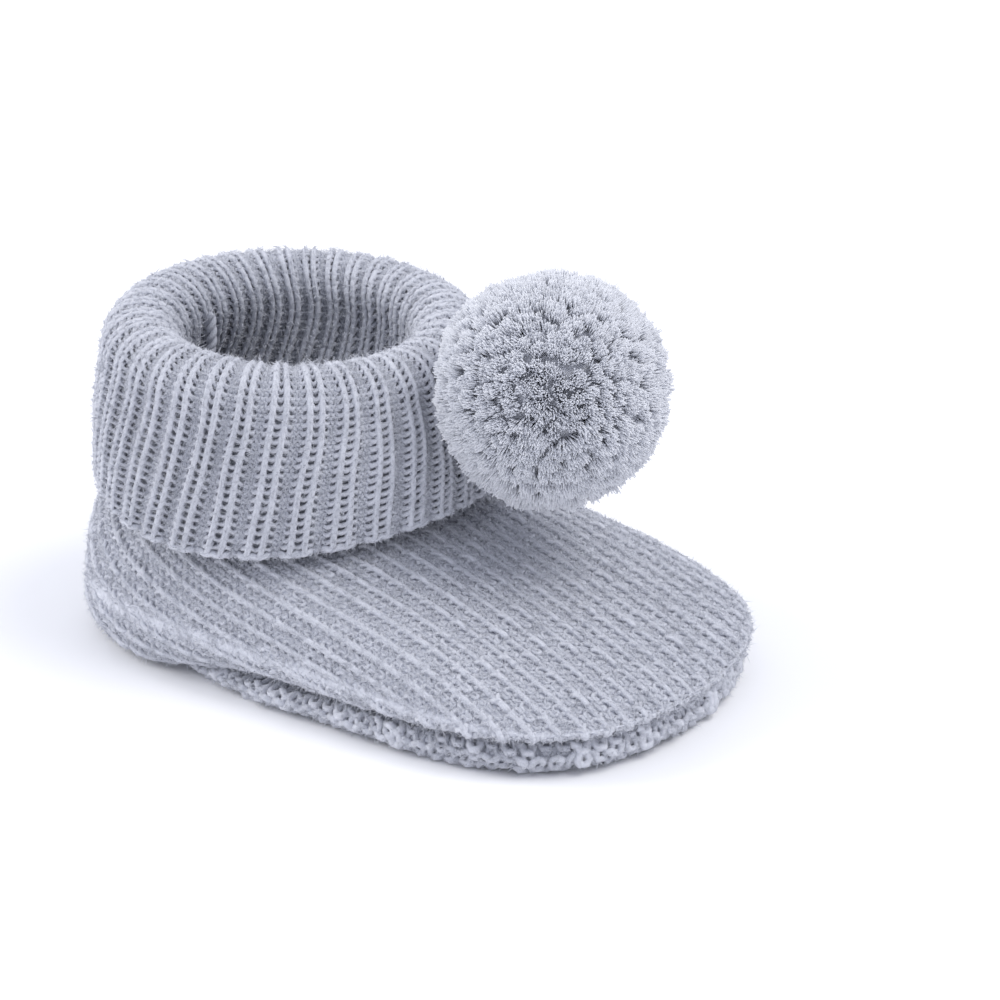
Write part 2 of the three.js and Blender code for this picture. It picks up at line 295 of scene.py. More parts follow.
# A value in a node tree that answers to plain arithmetic.
class Socket:
    def __init__(self, tree, source):
        self.tree, self.source = tree, source

    def feed(self, target, value):
        if isinstance(value, Socket):
            self.tree.links.new(value.source, target)
        else:
            target.default_value = value

    def node(self, kind, inputs, output=0, **settings):
        made = self.tree.nodes.new(kind)
        for name, value in settings.items():
            setattr(made, name, value)
        for key, value in inputs.items():
            self.feed(made.inputs[key], value)
        return Socket(self.tree, made.outputs[output])

    def maths(self, operation, first, second=0.0):
        return self.node("ShaderNodeMath", {0: first, 1: second}, operation=operation)

    def __add__(self, other):
        return self.maths("ADD", self, other)

    def __radd__(self, other):
        return self.maths("ADD", other, self)

    def __sub__(self, other):
        return self.maths("SUBTRACT", self, other)

    def __rsub__(self, other):
        return self.maths("SUBTRACT", other, self)

    def __mul__(self, other):
        return self.maths("MULTIPLY", self, other)

    def __rmul__(self, other):
        return self.maths("MULTIPLY", other, self)


def fabricMaterial(look):
    material = bpy.data.materials.new(look["name"])
    material.use_nodes = True
    tree = material.node_tree
    shader = tree.nodes["Principled BSDF"]
    root = Socket(tree, None)
    place = root.node("ShaderNodeTexCoord", {}, output=3)
    cloud = root.node("ShaderNodeTexNoise", {"Vector": place, "Scale": look["cloudScale"],
                                             "Detail": look["cloudDetail"],
                                             "Roughness": look["cloudRoughness"]})
    fibre = root.node("ShaderNodeTexNoise", {"Vector": place, "Scale": look["fibreScale"],
                                             "Detail": look["fibreDetail"],
                                             "Roughness": look["fibreRoughness"]})
    # the shade attribute holds random tone, plus painted light and shade on the rib, the foot and
    # the pompom's fibres
    toneAndShade = root.node("ShaderNodeAttribute", {}, output=2, attribute_name="shade")
    tone = (look["toneMid"] + (cloud - 0.5) * look["cloudGain"]
            + (fibre - 0.5) * look["fibreGain"] + toneAndShade * look["shadeGain"])
    colour = root.node("ShaderNodeMix", {0: tone, 6: look["dark"], 7: look["light"]}, output=2,
                       data_type="RGBA", clamp_factor=True)
    root.feed(shader.inputs["Base Color"], colour)
    bump = root.node("ShaderNodeBump", {"Strength": look["bump"], "Distance": look["bumpDepth"],
                                        "Height": fibre})
    root.feed(shader.inputs["Normal"], bump)
    shader.inputs["Roughness"].default_value = look["roughness"]
    shader.inputs["Specular IOR Level"].default_value = look["specular"]
    shader.inputs["Sheen Weight"].default_value = look["sheen"]
    shader.inputs["Sheen Roughness"].default_value = look["sheenRoughness"]
    shader.inputs["Sheen Tint"].default_value = look["sheenTint"]
    return material


yarnLook = dict(name="yarn", dark=(0.33, 0.345, 0.395, 1), light=(0.68, 0.695, 0.755, 1),
                toneMid=0.72, cloudScale=220.0, cloudGain=0.25, fibreScale=5200.0,
                fibreGain=1.3, shadeGain=1.0, bump=0.8, bumpDepth=0.00015,
                cloudDetail=3.0, cloudRoughness=0.6, fibreDetail=2.0, fibreRoughness=0.7,
                roughness=0.92, specular=0.2, sheen=0.25, sheenRoughness=0.5,
                sheenTint=(0.95, 0.96, 1, 1))
yarn = fabricMaterial(yarnLook)
fuzzMaterial = fabricMaterial(dict(yarnLook, name="fuzz", toneMid=1.0, fibreGain=0.3, bump=0.1))
# painted shade: the cuff's backing is darker than the yarn, for the shade seen through the holes
# between stitches
shadedBacking = fabricMaterial(dict(yarnLook, name="shadedBacking", toneMid=0.45, cloudScale=600.0,
                              fibreScale=1500.0, bump=0.9, bumpDepth=0.0004))
paleBacking = fabricMaterial(dict(yarnLook, name="pale_backing", toneMid=0.8, cloudScale=600.0,
                                  fibreScale=1500.0, bump=0.9, bumpDepth=0.0004))
seamMaterial = fabricMaterial(dict(yarnLook, name="seam_thread", toneMid=0.35,
                                   fibreScale=1800.0, bump=0.8))
pileLook = dict(yarnLook, light=(0.80, 0.815, 0.865, 1))
pileMaterial = fabricMaterial(dict(pileLook, name="pile", toneMid=1.0, cloudScale=300.0,
                                   cloudGain=0.3, fibreGain=0.3, bump=0.05, sheen=0.3))
# painted shade: the core is darker than the pile, for the shade deep among the fibres
pileCoreShadedMaterial = fabricMaterial(dict(pileLook, name="pile_core_painted_shade", toneMid=0.6, cloudScale=900.0,
                                       cloudGain=1.0, bump=0.9, bumpDepth=0.0005))

# Knitting

# One stitch, tau from 0 to 1 across its wale: the yarn swings up and back once while its
# sideways step runs ahead and behind twice, which makes the two legs lean into a V.
loop = dict(steps=9, lean=0.19, pinch=0.05, rise=0.93, swell=0.4, knitLean=0.09, knitPinch=0.23)


def loopPath(tau, look, isKnit=0.0):
    lean = mix(look["lean"], look["knitLean"], isKnit)
    pinch = mix(look["pinch"], look["knitPinch"], isKnit)
    x = tau + lean * np.sin(4 * np.pi * tau) + pinch * np.sin(2 * np.pi * tau)
    y = -look["rise"] * np.cos(2 * np.pi * tau)
    z = -np.cos(4 * np.pi * tau) * look["swell"]
    return x, y, z


# The rib: wales in fours, two raised and wide, two sunk and narrow.
# the raised wales' tone is painted light and the sunk wales' tone is painted shade, the sunk pair
# lying in the shade of the raised ones
rib = dict(wales=144, steep=6, rowPitch=1.35, firstRow=0.95, depth=1.25, knitShare=0.34, raise_=0.5,
           sink=0.55, rollEase=0.5, rollSpread=9, radius=0.38, barGain=0.1, purlThin=0.04,
           raisedPaintedLight=0.04, sunkPaintedShade=-0.06, legPaintedShade=-0.5, jitter=0.05, jitterStep=0.6,
           jitterTone=1.2, twist=0.0125, twistDip=0.0075, dipTurn=0.17, dipSpread=0.8,
           legTwist=0.012, legFrom=0.8, paintedShadeFrom=0.75, paintedShadeReach=9, leanSoft=3,
           hemRadius=0.5, hemSides=6, hemSteps=6, hemV=0.42, hemWave=0.16,
           swayRow=12, swaySpread=14,
           swayWaves=((0.006, 5, 0.31, 0), (0.004, 11, -0.22, 1), (0.003, 23, 0.5, 2)))


def ribWarp(w, look):
    period = np.floor(w / 4)
    q = w - 4 * period
    wide, narrow = look["knitShare"] * 4, (0.5 - look["knitShare"]) * 4
    return 4 * period + np.where(q < 2, q * wide, 2 * wide + (q - 2) * narrow)


# 1 over the raised pair, -1 over the sunk pair, smooth between.
def ribSide(w):
    q = np.mod(w, 4)
    return np.tanh(rib["steep"] * np.sin(np.pi * q / 2)) / np.tanh(rib["steep"])


# Slow wander of the ribs, a sum of waves over the ring and the rows.
def ribSway(t, c, look):
    sway = sum(size * np.sin(byT * t + byC * c + start)
               for size, byT, byC, start in look["swayWaves"])
    return sway * np.exp(-((c - look["swayRow"]) / look["swaySpread"]) ** 2)


# How fast the flap's ribs lean as they go down, least at the front.
def leanRate(t, look):
    fromFront = np.mod(t + look["dipTurn"] + np.pi, 2 * np.pi) - np.pi
    return look["twist"] - look["twistDip"] * np.exp(-(fromFront / look["dipSpread"]) ** 2)


# x where it is positive, 0 where it is negative, rounded between.
def softRamp(x, soft):
    return (np.sqrt(x ** 2 + soft ** 2) + x) / 2


def ribRows(firstRow, lastRow, look, loopLook):
    rows = np.arange(firstRow, lastRow)
    steps = loopLook["steps"]
    w = np.arange(look["wales"] * steps) / steps
    wale = np.floor(w)
    isKnit = (np.mod(wale, 4) < 2) * 1.0
    x, y, z = loopPath(w - wale, loopLook, isKnit)
    jitterRng = np.random.default_rng(100 + firstRow)
    jitter = jitterRng.normal(size=(len(rows), look["wales"])) * look["jitter"]
    perStitch = np.repeat(jitter, steps, 1)
    across = wale + x
    side = ribSide(w)
    t = ribWarp(across, look) * 2 * np.pi / look["wales"]
    c = rows[:, None] + y + perStitch * look["jitterStep"]
    v = (c + look["firstRow"]) * look["rowPitch"]
    t = t + ribSway(t, c, look)
    # the flap's ribs lean as they go down, and the leg's the other way
    below = softRamp(skin["flap"] - v, look["leanSoft"])
    inside = softRamp(v - skin["flap"] - skin["roll"] * look["legFrom"], look["leanSoft"])
    onRoll = np.exp(-((v - skin["flap"] - skin["roll"] / 2) / look["rollSpread"]) ** 2)
    relief = np.where(side > 0, look["raise_"], look["sink"]) * side
    relief = relief * (1 - (1 - look["rollEase"]) * onRoll)
    deep = look["depth"] - relief - z * side * np.abs(side) + perStitch
    t = t - leanRate(t, look) * below - look["legTwist"] * inside
    t, v, deep = np.broadcast_arrays(t, v, deep)
    centres = cuffPoint(t, v, deep)
    normals = cuffNormal(t, v, deep * 0 + look["depth"])
    raised = (side + 1) / 2
    radius = look["radius"] + look["barGain"] * np.cos(2 * np.pi * (w - wale)) ** 2 * raised
    radius = (radius - look["purlThin"] * (1 - raised)) * (1 + perStitch)
    # painted light on the raised wales, painted shade on the sunk ones
    raisedPaintedLight = mix(look["sunkPaintedShade"], look["raisedPaintedLight"], raised)
    # painted shade: rows further down the leg, inside the opening, are darker
    inward = v - skin["flap"] - skin["roll"] * look["paintedShadeFrom"]
    legPaintedShade = look["legPaintedShade"] * smoothStep(inward / look["paintedShadeReach"])
    shade = perStitch * look["jitterTone"] + raisedPaintedLight + legPaintedShade
    shade = np.repeat(shade, tubeSides).reshape(len(rows), -1)
    return centres, normals, radius, shade


ribPieces = []
for name, first, last in (("rib_flap", 0, 17), ("rib_roll", 17, 30), ("rib_leg", 30, 42)):
    centres, normals, radius, shade = ribRows(first, last, rib, loop)
    points, groups = tubes(centres, normals, radius, isRing=True)
    piece = makePiece(name, points, groups, yarn, shade)
    ribPieces.append((piece, centres, normals))


# The bound edge along the hem, following the raised and sunk wales.
def hemEdge(look):
    w = np.arange(look["wales"] * look["hemSteps"]) / look["hemSteps"]
    t = ribWarp(w, look) * 2 * np.pi / look["wales"]
    t = t - skin["flap"] * leanRate(t, look)
    deep = look["depth"] - np.where(ribSide(w) > 0, look["raise_"], look["sink"]) * ribSide(w)
    v = look["hemV"] + look["hemWave"] * np.cos(2 * np.pi * w)
    return cuffPoint(t, v, deep)[None], cuffNormal(t, v, deep)[None]


centres, normals = hemEdge(rib)
points, groups = tubes(centres, normals, rib["hemRadius"], rib["hemSides"], isRing=True)
hemPiece = makePiece("hem_edge", points, groups, yarn)
ribPieces.append((hemPiece, np.repeat(centres, 3, 0), np.repeat(normals, 3, 0)))
print("rib done")

# Foot fabric

upper = dict(pitch=1.6, rowPitch=1.42, depth=0.95, tuckedDepth=0.4, tuckedU=0.77,
             knitShare=0.53, raise_=0.15, sink=0.16, radius=0.43, purlThin=0.07, raisedPaintedLight=0.03,
             sunkPaintedShade=0.0, jitter=0.05, jitterLift=1.5, jitterTone=1.2, floorGap=0.04, parts=3)
# How far the wales turn from straight down the face: sine terms of t by powers of
# (u - 0.5), and a slight drift over the instep.
waleTurn = ((-0.76, -1.03, -0.47), (0.24, 0.46, -0.25), (-0.16, 0.62, 0.24), (0.04, 0.10, 0.35))
waleDrift = (-0.16, 0.26)
driftSpread = 0.8
# Nodes of the fields round and down the foot, and of the finer grid that is searched.
fieldGrid = dict(around=97, down=27, topU=0.13, rimWeight=0.35, fineAround=2161, fineDown=431,
                 fineTopU=0.14, newtonSteps=2, farthest=0.45)


def turnOfWales(t, u):
    total = 0
    for m, row in enumerate(waleTurn):
        for k, gain in enumerate(row):
            total = total + gain * np.sin((m + 1) * t) * (u - 0.5) ** k
    fade = np.exp(-(t / driftSpread) ** 2)
    return total + fade * (waleDrift[0] + waleDrift[1] * (u - 0.5))


# Two fields over the foot, one counting wales and one counting rows: the least-squares
# pair whose slopes come nearest to the wanted direction and spacing.
def stitchFields(look):
    nt, nu = fieldGrid["around"], fieldGrid["down"]
    ts, us = np.linspace(-np.pi, np.pi, nt), np.linspace(fieldGrid["topU"], 1, nu)
    tc, uc = np.meshgrid((ts[1:] + ts[:-1]) / 2, (us[1:] + us[:-1]) / 2, indexing="ij")
    e = 1e-3
    byT = (upperPoint(tc + e, uc) - upperPoint(tc - e, uc)) / (2 * e)
    byU = (upperPoint(tc, uc + e) - upperPoint(tc, uc - e)) / (2 * e)
    sizeU = np.linalg.norm(byU, axis=-1)
    along = (byT * byU).sum(-1) / sizeU
    sizeT = np.sqrt(np.maximum((byT ** 2).sum(-1) - along ** 2, 1e-6))
    area = sizeU * sizeT
    turn = turnOfWales(tc, uc)
    node = np.arange(nt * nu).reshape(nt, nu)
    corner = np.stack([node[:-1, :-1], node[1:, :-1], node[:-1, 1:], node[1:, 1:]], -1)
    dt, du = ts[1] - ts[0], us[1] - us[0]
    slopeT = np.array([-1, 1, -1, 1]) / (2 * dt)
    slopeU = np.array([-1, -1, 1, 1]) / (2 * du)
    downRow = slopeU[None, None] / sizeU[..., None]
    acrossRow = (slopeT - (along / sizeU)[..., None] * slopeU) / sizeT[..., None]
    weight = area * mix(fieldGrid["rimWeight"], 1, smoothStep((1 - uc) / 0.15))
    normal = np.zeros((nt * nu, nt * nu))
    for row in (downRow, acrossRow):
        block = row[..., :, None] * row[..., None, :] * weight[..., None, None]
        np.add.at(normal, (corner[..., :, None], corner[..., None, :]), block)

    def rhs(down, across):
        b = np.zeros(nt * nu)
        for row, aim in ((downRow, down), (acrossRow, across)):
            np.add.at(b, corner, row * (aim * weight)[..., None])
        return b

    wales = rhs(-np.sin(turn) / look["pitch"], np.cos(turn) / look["pitch"])
    rows = rhs(np.cos(turn) / look["rowPitch"], np.sin(turn) / look["rowPitch"])
    normal += np.eye(nt * nu) * 1e-7
    solved = np.linalg.solve(normal, np.stack([wales, rows], -1)).reshape(nt, nu, 2)
    solved -= solved[nt // 2, nu - 1]
    return ts, us, solved


def bilinear(ts, us, grid, t, u):
    a = np.clip((t - ts[0]) / (ts[1] - ts[0]), 0, len(ts) - 1.001)
    b = np.clip((u - us[0]) / (us[1] - us[0]), 0, len(us) - 1.001)
    i, j = a.astype(int), b.astype(int)
    fa, fb = (a - i)[..., None], (b - j)[..., None]
    return ((grid[i, j] * (1 - fa) + grid[i + 1, j] * fa) * (1 - fb)
            + (grid[i, j + 1] * (1 - fa) + grid[i + 1, j + 1] * fa) * fb)


# Where each half stitch of the count lies on the foot: the nearest sample of a fine grid,
# then a few Newton steps.
def stitchTable(look):
    ts, us, fields = stitchFields(look)
    topU = fieldGrid["fineTopU"]
    t, u = np.meshgrid(np.linspace(-np.pi, np.pi, fieldGrid["fineAround"]),
                       np.linspace(topU, 1, fieldGrid["fineDown"]), indexing="ij")
    t, u = t.ravel(), u.ravel()
    half = bilinear(ts, us, fields, t, u) * 2
    low = np.floor(half.min(0)).astype(int) - 4
    size = np.ceil(half.max(0)).astype(int) + 5 - low
    near = np.rint(half).astype(int) - low
    off = ((half - near - low) ** 2).sum(-1)
    key = near[:, 0] * size[1] + near[:, 1]
    order = np.lexsort((off, key))
    keys, first = np.unique(key[order], return_index=True)
    best = order[first]
    table = np.full((size[0] * size[1], 2), np.nan)
    tb, ub = t[best], u[best]
    aim = np.stack([keys // size[1], keys % size[1]], -1) + low
    e1, e2 = 0.01, 0.004
    for _ in range(fieldGrid["newtonSteps"]):
        now = bilinear(ts, us, fields, tb, ub) * 2
        byT = (bilinear(ts, us, fields, tb + e1, ub) - bilinear(ts, us, fields, tb - e1, ub)) / e1
        byU = (bilinear(ts, us, fields, tb, ub + e2) - bilinear(ts, us, fields, tb, ub - e2)) / e2
        det = byT[:, 0] * byU[:, 1] - byT[:, 1] * byU[:, 0]
        det = np.where(np.abs(det) < 1e-3, 1e9, det)
        gap = aim - now
        moveT = (gap[:, 0] * byU[:, 1] - gap[:, 1] * byU[:, 0]) / det
        moveU = (gap[:, 1] * byT[:, 0] - gap[:, 0] * byT[:, 1]) / det
        tb = tb + np.clip(moveT, -0.01, 0.01)
        ub = np.clip(ub + np.clip(moveU, -0.01, 0.01), topU, 1)
    isGood = off[best] < fieldGrid["farthest"] ** 2 * 2
    table[keys[isGood]] = np.stack([tb, ub], -1)[isGood]
    return table.reshape(size[0], size[1], 2), low


def footStitches(look, loopLook):
    table, low = stitchTable(look)
    places = upperPoint(table[..., 0], table[..., 1])
    outs = upperNormal(table[..., 0], table[..., 1])
    good = np.isfinite(places).all(-1)
    # a stitch takes wales i to i + 1 and rows j - 1 to j + 1, in halves
    i0 = -low[0] % 2
    j0 = -low[1] % 2
    ii, jj = np.meshgrid(np.arange(i0, table.shape[0] - 3, 2),
                         np.arange(j0 + 2, table.shape[1] - 3, 2), indexing="ij")
    fine = np.ones(ii.shape, bool)
    for di in range(0, 3):
        for dj in range(-2, 3):
            fine &= good[ii + di, jj + dj]
    ii, jj = ii[fine], jj[fine]
    steps = loopLook["steps"]
    tau = np.arange(steps + 1) / steps
    wale = (ii + low[0]) // 2
    isKnit = np.mod(wale, 2) == 0
    x, y, z = loopPath(tau[None], loopLook, isKnit[:, None] * 1.0)
    # raised wales take more of the width than sunk ones
    wide, narrow = look["knitShare"] * 2, (1 - look["knitShare"]) * 2
    spread = np.where(isKnit, wide, narrow)[:, None]
    start = np.where(isKnit, 0, wide - 1)[:, None]
    fx = np.clip((start + x * spread) * 2, -1.9, 3.9)
    fy = y * 2 + 0 * fx
    local = np.random.default_rng(31).normal(size=len(ii))[:, None] * look["jitter"]
    a, b = ii[:, None] + fx, jj[:, None] + fy + local
    a = np.clip(a, 0, table.shape[0] - 2.001)
    b = np.clip(b, 0, table.shape[1] - 2.001)
    ia, ib = a.astype(int), b.astype(int)
    fa, fb = (a - ia)[..., None], (b - ib)[..., None]

    def pick(grid):
        return ((grid[ia, ib] * (1 - fa) + grid[ia + 1, ib] * fa) * (1 - fb)
                + (grid[ia, ib + 1] * (1 - fa) + grid[ia + 1, ib + 1] * fa) * fb)

    p, n = pick(places), unit(pick(outs))
    ok = np.isfinite(p).all((1, 2))
    # the side changes over half way at the edges of each wale
    ease = np.sin(np.pi * tau) ** 0.5
    side = np.where(isKnit, 1, -1)[:, None] * ease[None]
    relief = np.where(side > 0, look["raise_"], look["sink"]) * side
    # under the widest line the yarn lies nearer to the face, clear of the fold above it
    tucked = smoothStep((pick(table)[..., 1] - look["tuckedU"]) / 0.06)
    lift = -look["depth"] * mix(1, look["tuckedDepth"], tucked) + relief + z * side
    lift = lift + local * look["jitterLift"]
    centres = p + n * lift[..., None]
    centres[..., 2] = np.maximum(centres[..., 2], look["radius"] + look["floorGap"])
    sunk = np.where(isKnit, 0, 1)[:, None]
    radius = (look["radius"] - look["purlThin"] * sunk) * (1 + local) * np.ones(steps + 1)[None]
    # a little painted light on the raised wales, none on the sunk ones
    shade = local * look["jitterTone"] + mix(look["raisedPaintedLight"], look["sunkPaintedShade"], sunk)
    shade = np.repeat(shade * np.ones(steps + 1)[None], tubeSides, 1)
    return centres[ok], n[ok], radius[ok], shade[ok]


footLoop = dict(loop, pinch=0.05, rise=0.95, swell=0.24, knitLean=0.1, knitPinch=0.23)
centres, normals, radius, shade = footStitches(upper, footLoop)
print("stitches on the foot", len(centres))
footPieces = []
for k in range(upper["parts"]):
    cut = slice(k * len(centres) // upper["parts"], (k + 1) * len(centres) // upper["parts"])
    points, groups = tubes(centres[cut], normals[cut], radius[cut])
    piece = makePiece(f"foot_knit_{k + 1}", points, groups, yarn, shade[cut])
    footPieces.append((piece, centres[cut], normals[cut]))
print("foot done")

# Sole

soleKnit = dict(stitches=110, rows=5, radius=0.55, out=2.5, extraZ=1.9, lowZ=0.45, jitter=0.15,
                ridge=0.3, topTurn=1.06, turnShare=0.98, rowReach=0.9, floorGap=0.03)


# The sole's rounded rim, a from pi at its top to 0 below.
def edgePoint(t, a, out):
    shown = 1 - heelWrap(t)
    inset = soleInset(t) + foot["wrapSoleIn"] * heelWrap(t) - (soleKnit["out"] * shown) * np.sin(a)
    inset = inset + foot["soleEdge"] * (1 - np.sin(a)) - out * np.sin(a)
    topZ = soleTopZ(t) + soleKnit["extraZ"] * shown * toeward(t)
    z = topZ * (1 - np.cos(a)) / 2 - out * np.cos(a) + soleKnit["lowZ"] * (1 + np.cos(a)) / 2
    return outline(t, -inset, z)


def soleEdge(look, loopLook):
    steps = loopLook["steps"]
    w = np.arange(look["stitches"] * steps) / steps
    wale = np.floor(w)
    x, y, z = loopPath(w - wale, loopLook)
    rows = np.arange(look["rows"])
    # even steps along the outline, by its length
    tt = np.linspace(0, 2 * np.pi, 721)
    line = outline(tt, 0.0, 0.0)
    far = np.concatenate([[0], np.cumsum(np.linalg.norm(np.diff(line, axis=0), axis=1))])
    t = np.interp((wale + x) / look["stitches"] * far[-1], far, tt)
    jitter = np.random.default_rng(5).normal(size=(len(rows), look["stitches"])) * look["jitter"]
    jitter = np.repeat(jitter, steps, 1)
    down = (rows[:, None] + y * look["rowReach"] + jitter) / (look["rows"] - 0.7)
    a = np.pi * (look["topTurn"] - down * look["turnShare"])
    t = t[None] + 0 * a
    out = -z + jitter + look["ridge"] * np.sin(2 * np.pi * rows[:, None] / 2)
    centres = edgePoint(t, a, out)
    normals = unit(edgePoint(t, a, out * 0 + 1) - edgePoint(t, a, out * 0))
    centres[..., 2] = np.maximum(centres[..., 2], look["radius"] + look["floorGap"])
    return centres, normals, look["radius"] * (1 + jitter), np.repeat(jitter, tubeSides, 1)


soleLoop = dict(loop, lean=0.2, pinch=0.0, rise=0.85, swell=0.26)
solePieces = []
centres, normals, radius, shade = soleEdge(soleKnit, soleLoop)
points, groups = tubes(centres, normals, radius, isRing=True)
solePieces.append((makePiece("sole_edge", points, groups, yarn, shade), centres, normals))


bottomKnit = dict(steps=7, pitchX=1.6, pitchY=2.1, columns=32, rows=17, rim=2.6, edge=0.6,
                  z=0.78, relief=0.16, lowest=0.41, radius=0.38, jitter=0.05)


def soleBottom(look, loopLook):
    steps = look["steps"]
    tau = np.arange(steps + 1) / steps
    x, y, z = loopPath(tau, loopLook)
    i, j = np.meshgrid(np.arange(-look["columns"], look["columns"] + 1),
                       np.arange(-look["rows"], look["rows"]), indexing="ij")
    px, py = i * look["pitchX"] + foot["shift"], (j + 0.5) * look["pitchY"]
    t = np.linspace(0, 2 * np.pi, 720)
    line = outline(t, -look["rim"] - foot["wrapSoleIn"] * heelWrap(t), 0.0)
    room = np.interp(px, line[:360, 0][::-1], line[:360, 1][::-1], left=0, right=0)
    inside = np.abs(py) + look["pitchY"] * look["edge"] < room
    px, py = px[inside][:, None], py[inside][:, None]
    side = np.where(np.mod(i[inside], 2) == 0, 1, -1)[:, None]
    jitter = np.random.default_rng(6).normal(size=px.shape) * look["jitter"]
    cx = px + y[None] * look["pitchX"]
    cy = py + (x[None] - 0.5) * look["pitchY"]
    cz = look["z"] - look["relief"] * side + z[None] * side + jitter
    centres = stack(cx, cy, np.maximum(cz, look["lowest"]))
    normals = np.zeros_like(centres) + [0, 0, -1.0]
    shade = np.repeat(jitter * np.ones(steps + 1)[None], tubeSides, 1)
    return centres, normals, look["radius"] * (1 + jitter), shade


centres, normals, radius, shade = soleBottom(bottomKnit, soleLoop)
points, groups = tubes(centres, normals, radius + 0 * centres[..., 0])
solePieces.append((makePiece("sole_bottom", points, groups, yarn, shade), centres, normals))
print("sole done")

# Cloth behind the yarn


# Faces over rows (n, m, 3); each row closes on itself, the rows too unless they end in poles.
def closedGrid(rows, hasPoles=False):
    n, m = rows.shape[:2]
    index = np.arange(n * m).reshape(n, m)
    here = index[:-1] if hasPoles else index
    after = index[1:] if hasPoles else np.roll(index, -1, 0)
    quads = np.stack([here, np.roll(here, -1, 1), np.roll(after, -1, 1), after], -1)
    groups = [quads.reshape(-1, 4)]
    points = rows.reshape(-1, 3)
    if hasPoles:
        points = np.concatenate([points, rows[[0, -1]].mean(1)])
        low, high = n * m, n * m + 1
        first, last = index[0], index[-1]
        groups.append(np.stack([np.full(m, low), np.roll(first, -1), first], -1))
        groups.append(np.stack([np.full(m, high), last, np.roll(last, -1)], -1))
    tri = np.concatenate([np.concatenate([g[:, [0, 1, 2]], g[:, [0, 2, 3]]]) if g.shape[1] == 4
                          else g for g in groups])
    a, b, c = (points[tri[:, k]] for k in range(3))
    if (a * np.cross(b, c)).sum() < 0:
        groups = [g[:, ::-1] for g in groups]
    return points, groups


clothLook = dict(around=144, cuffRows=64, cuffLow=0.3, cuffTop=0.2, cuffDepths=(1.65, 2.55),
                 footRows=40, footU=(0.02, 0.995), footDepths=(1.05, 2.05),
                 tuckedDepths=(0.45, 0.85), tuckedU=0.72, footLowest=0.15,
                 soleRows=9, soleIn=6.0, soleLowZ=0.95, soleTopGap=0.1, soleDepth=0.35)
turns = np.arange(clothLook["around"]) * 2 * np.pi / clothLook["around"]
cuffLength = skin["flap"] + skin["roll"] + skin["leg"]
down = np.linspace(clothLook["cuffLow"], cuffLength - clothLook["cuffTop"], clothLook["cuffRows"])
outerFace = cuffPoint(turns[:, None], down[None], clothLook["cuffDepths"][0])
innerFace = cuffPoint(turns[:, None], down[None, ::-1], clothLook["cuffDepths"][1])
points, groups = closedGrid(np.concatenate([outerFace, innerFace], 1).transpose(1, 0, 2))
# its darker colour paints shade into the holes of the rib
cuffCloth = makePiece("cuff_cloth", points, groups, shadedBacking)

us = np.linspace(*clothLook["footU"], clothLook["footRows"])
faceOut = upperPoint(turns[:, None], us[None])
outward = upperNormal(turns[:, None], np.maximum(us, foot["normalU"])[None])
# shallow and thin under the widest line, where the fold leaves little room
under = smoothStep((us - clothLook["tuckedU"]) / 0.06)[:, None]
outerFace, innerFace = (faceOut - outward * mix(deep, tucked, under) for deep, tucked
                        in zip(clothLook["footDepths"], clothLook["tuckedDepths"]))
shell = np.concatenate([outerFace, innerFace[:, ::-1]], 1)
shell[..., 2] = np.maximum(shell[..., 2], clothLook["footLowest"])
points, groups = closedGrid(shell.transpose(1, 0, 2))
footCloth = makePiece("foot_cloth", points, groups, paleBacking)

edges = np.linspace(0.15, 0.85, clothLook["soleRows"]) * np.pi
soleFaces = [outline(turns, -clothLook["soleIn"], clothLook["soleLowZ"]),
             *[edgePoint(turns, a, -clothLook["soleDepth"]) for a in edges],
             outline(turns, -clothLook["soleIn"], soleTopZ(turns) - clothLook["soleTopGap"])]
points, groups = closedGrid(np.stack(soleFaces), hasPoles=True)
soleCloth = makePiece("sole_cloth", points, groups, paleBacking)
print("cloth done")

# Pompom

# the fibres' roots get painted shade, deep in the pile
pile = dict(tufts=1900, fibres=50, root=13.6, tip=16.9, spread=0.95, radius=0.11, uneven=0.3,
            dome=0.75, lobes=0.35, axisWobble=0.03, leanWobble=0.1, lengthWobble=0.22,
            tipWobble=0.14, rootPaintedShade=-0.3, tuftTone=0.08, fibreTone=0.06, parts=4,
            wall=15.35, wallFace=(-0.982, 0, -0.189),
            sways=(-12, -6, 0, 6, 12), nods=(-12, -4, 0, 4, 8))
lobeWaves = ((4.1, 3.3, -2.6), (-2.9, 4.4, 3.8))


